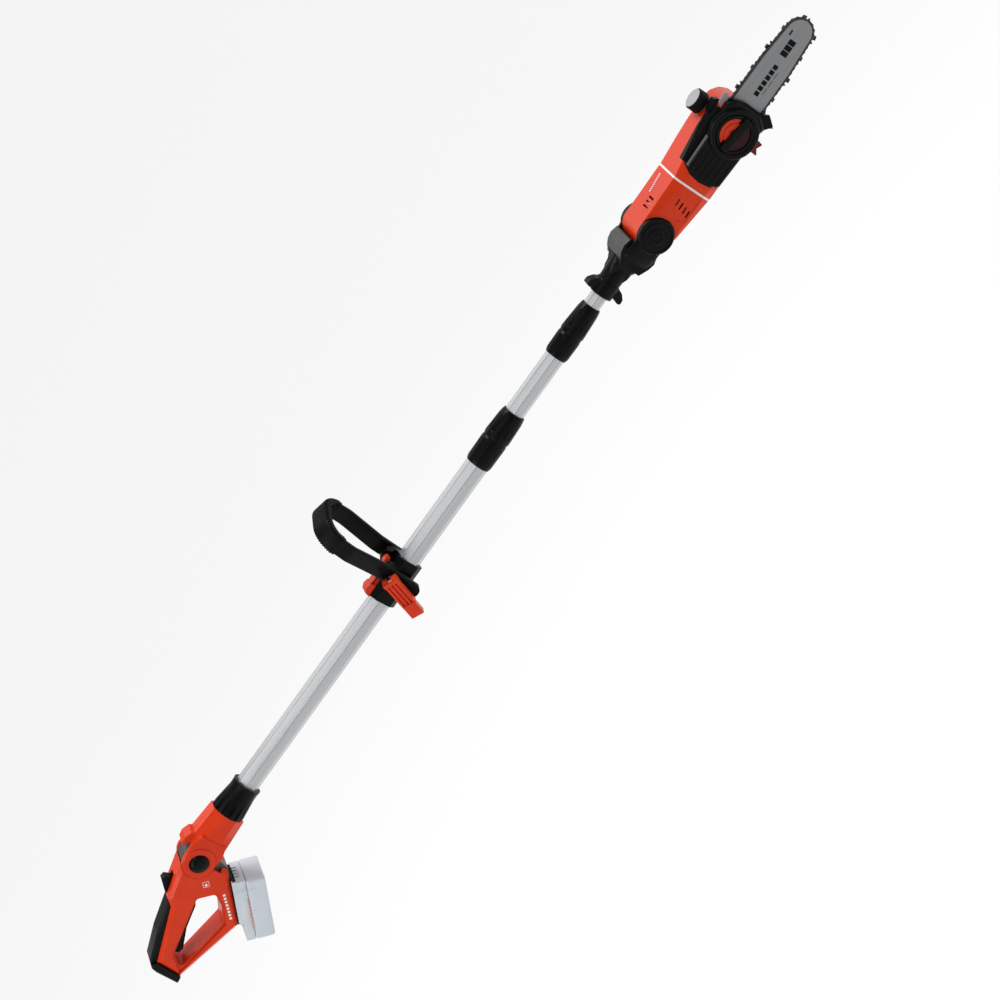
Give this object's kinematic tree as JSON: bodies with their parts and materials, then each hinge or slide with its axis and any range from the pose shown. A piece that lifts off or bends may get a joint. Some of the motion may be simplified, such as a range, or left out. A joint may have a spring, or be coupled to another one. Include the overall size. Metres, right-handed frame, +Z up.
{
  "type": "telescoping pole saw",
  "caption": "Cordless telescoping pole saw: tilting chainsaw head on an octagonal telescoping pole, pear-shaped front grip and tilting rear D-handle with slide-on battery.",
  "frame": {"origin": "on the pole's axis at the middle of the front grip's clamp", "axes": "+X along the pole towards the saw, +Z up through the front grip, -Y towards the chain-cover side"},
  "size_m": [1.935, 0.1152, 0.3746],
  "materials": {
    "red_shell": "glossy orange-red moulded plastic",
    "black_plastic": "satin black moulded plastic",
    "black_rubber": "soft ribbed overmould",
    "tube_aluminium": "bright drawn and anodised",
    "grey_plastic": "mid-grey textured plastic",
    "band_silver": "silver-painted trim",
    "battery_plastic": "pale blue-grey plastic",
    "bar_steel": "ground steel, coated mid grey",
    "chain_steel": "oiled dark steel",
    "gear_steel": "machined steel",
    "screw_steel": "black zinc",
    "tank_plastic": "translucent natural plastic",
    "dark_red": "dark red plastic",
    "cap_black": "black knurled plastic",
    "motor_steel": "black-passivated steel can",
    "collet_white": "natural nylon"
  },
  "bodies": {
    "pole": {"lower_tube": "tube_aluminium", "lock1_base": "black_plastic", "lock1_collet": "collet_white", "neck_shell_left": "red_shell", "neck_shell_right": "red_shell", "neck_screws": "screw_steel", "neck_collar": "black_plastic", "handle_pivot_pin": "gear_steel"},
    "handle_tilt_button": {"handle_tilt_button": "black_plastic"},
    "handle": {"handle_shell_left": "red_shell", "handle_shell_right": "red_shell", "handle_screws": "screw_steel", "handle_knuckle": "grey_plastic", "grip_pad": "black_rubber", "switch": "black_plastic", "battery_rail": "black_plastic"},
    "trigger": {"trigger": "black_plastic"},
    "lock_off_button": {"lock_off_button": "black_plastic"},
    "battery": {"battery_top": "battery_plastic", "battery_case": "battery_plastic"},
    "battery_catch": {"battery_catch": "battery_plastic"},
    "loop_clamp": {"clamp_lower": "black_plastic", "clamp_upper": "black_plastic", "loop_bolt": "gear_steel"},
    "front_grip": {"loop_frame": "black_plastic", "loop_grip": "black_rubber"},
    "loop_latch": {"loop_latch": "red_shell"},
    "cam_lever": {"cam_lever": "red_shell"},
    "lock1_nut": {"lock1_nut": "black_plastic"},
    "lock2_nut": {"lock2_nut": "black_plastic"},
    "mid_pole": {"mid_tube": "tube_aluminium", "lock2_base": "black_plastic", "lock2_collet": "collet_white"},
    "upper_pole": {"upper_tube": "tube_aluminium", "yoke_left": "black_plastic", "yoke_right": "black_plastic", "yoke_screws": "screw_steel", "tilt_axle": "gear_steel"},
    "release_sleeve": {"release_sleeve": "black_plastic"},
    "head_tilt_button": {"tilt_button": "black_plastic"},
    "saw_head": {"head_shell_left": "red_shell", "head_shell_right": "red_shell", "head_screws": "screw_steel", "head_band": "band_silver", "top_strip": "black_plastic", "oil_tank": "tank_plastic", "bumper_spikes": "chain_steel", "branch_hook": "dark_red", "motor_can": "motor_steel", "sprocket_cover": "black_plastic", "bar_stud": "gear_steel", "saw_chain": "chain_steel"},
    "oil_cap": {"oil_cap": "cap_black"},
    "guide_bar": {"guide_bar": "bar_steel"},
    "nose_sprocket": {"nose_sprocket": "gear_steel"},
    "drive_sprocket": {"drive_sprocket": "gear_steel", "face_gear": "gear_steel"},
    "motor_rotor": {"motor_rotor": "gear_steel"},
    "tension_ring": {"tension_ring": "black_plastic"},
    "clamp_knob": {"clamp_knob": "black_plastic"}
  },
  "joints": [
    {"name": "handle_tilt", "type": "hinge", "parent": "pole", "child": "handle", "pos_m": [-0.586, 0, 0], "axis": [0, 1, 0], "range_deg": [-12, 30]},
    {"name": "handle_tilt_press", "type": "slide", "parent": "pole", "child": "handle_tilt_button", "axis": [0, 1, 0], "range_m": [0, 0.004], "stiffness_N_per_m": 600, "springref_m": -0.002},
    {"name": "trigger_pull", "type": "hinge", "parent": "handle", "child": "trigger", "pos_m": [-0.652, 0, -0.033], "axis": [0, 1, 0], "range_deg": [0, 5], "stiffness_Nm_per_rad": 1.5, "springref_deg": -8.59},
    {"name": "lock_off_slide", "type": "slide", "parent": "handle", "child": "lock_off_button", "axis": [0.9625, 0, 0.2712], "range_m": [0, 0.0045], "stiffness_N_per_m": 400, "springref_m": -0.002},
    {"name": "battery_slide", "type": "slide", "parent": "handle", "child": "battery", "axis": [-0.7254, 0, -0.6884], "range_m": [0, 0.12]},
    {"name": "battery_catch_press", "type": "slide", "parent": "battery", "child": "battery_catch", "axis": [0.7254, 0, 0.6884], "range_m": [0, 0.003], "stiffness_N_per_m": 600, "springref_m": -0.001},
    {"name": "loop_clamp_slide", "type": "slide", "parent": "pole", "child": "loop_clamp", "axis": [1, 0, 0], "range_m": [-0.36, 0.17]},
    {"name": "front_grip_tilt", "type": "hinge", "parent": "loop_clamp", "child": "front_grip", "pos_m": [0.026, 0, 0.028], "axis": [0.2588, 0.9659, 0], "range_deg": [-12, 12]},
    {"name": "loop_latch_press", "type": "slide", "parent": "loop_clamp", "child": "loop_latch", "axis": [1, 0, 0], "range_m": [0, 0.004], "stiffness_N_per_m": 500, "springref_m": -0.002},
    {"name": "cam_lever_open", "type": "hinge", "parent": "loop_clamp", "child": "cam_lever", "pos_m": [0.01306, -0.0483, 0.028], "axis": [-0.9133, 0.2447, 0.3256], "range_deg": [0, 90]},
    {"name": "lock1_turn", "type": "hinge", "parent": "pole", "child": "lock1_nut", "pos_m": [0.32, 0, 0], "axis": [1, 0, 0], "range_deg": [0, 90]},
    {"name": "mid_pole_slide", "type": "slide", "parent": "pole", "child": "mid_pole", "axis": [1, 0, 0], "range_m": [-0.108, 0.3]},
    {"name": "lock2_turn", "type": "hinge", "parent": "mid_pole", "child": "lock2_nut", "pos_m": [0.53, 0, 0], "axis": [1, 0, 0], "range_deg": [0, 90]},
    {"name": "upper_pole_slide", "type": "slide", "parent": "mid_pole", "child": "upper_pole", "axis": [1, 0, 0], "range_m": [-0.012, 0.3]},
    {"name": "release_pull", "type": "slide", "parent": "upper_pole", "child": "release_sleeve", "axis": [-1, 0, 0], "range_m": [0, 0.006], "stiffness_N_per_m": 500, "springref_m": -0.002},
    {"name": "head_tilt_press", "type": "slide", "parent": "upper_pole", "child": "head_tilt_button", "axis": [0, 1, 0], "range_m": [0, 0.004], "stiffness_N_per_m": 600, "springref_m": -0.002},
    {"name": "head_tilt", "type": "hinge", "parent": "upper_pole", "child": "saw_head", "pos_m": [0.716, 0, 0], "axis": [0, 1, 0], "range_deg": [-45, 45]},
    {"name": "oil_cap_lift", "type": "slide", "parent": "saw_head", "child": "oil_cap", "axis": [0, 0, 1], "range_m": [0, 0.03]},
    {"name": "tension_turn", "type": "hinge", "parent": "saw_head", "child": "tension_ring", "pos_m": [0.917, -0.047, -0.0045], "axis": [0, -1, 0], "range_deg": [0, 120]},
    {"name": "bar_tension", "type": "slide", "parent": "saw_head", "child": "guide_bar", "axis": [-1, 0, 0], "range_m": [0, 0.0015]},
    {"name": "clamp_knob_turn", "type": "hinge", "parent": "saw_head", "child": "clamp_knob", "pos_m": [0.917, -0.047, -0.0045], "axis": [0, -1, 0], "range_deg": [0, 180]},
    {"name": "motor_spin", "type": "hinge", "parent": "saw_head", "child": "motor_rotor", "pos_m": [0.78, -0.0002, -0.0045], "axis": [1, 0, 0], "continuous": true},
    {"name": "sprocket_spin", "type": "hinge", "parent": "saw_head", "child": "drive_sprocket", "pos_m": [0.866, -0.022, -0.0045], "axis": [0, 1, 0], "continuous": true},
    {"name": "nose_spin", "type": "hinge", "parent": "guide_bar", "child": "nose_sprocket", "pos_m": [1.1, -0.022, -0.0045], "axis": [0, 1, 0], "continuous": true}
  ],
  "couplings": [
    {"joint": "sprocket_spin", "follows": "motor_spin", "ratio": -0.4},
    {"joint": "nose_spin", "follows": "motor_spin", "ratio": -0.26667},
    {"joint": "tension_turn", "follows": "bar_tension", "rad_per_m": 1396.3}
  ]
}
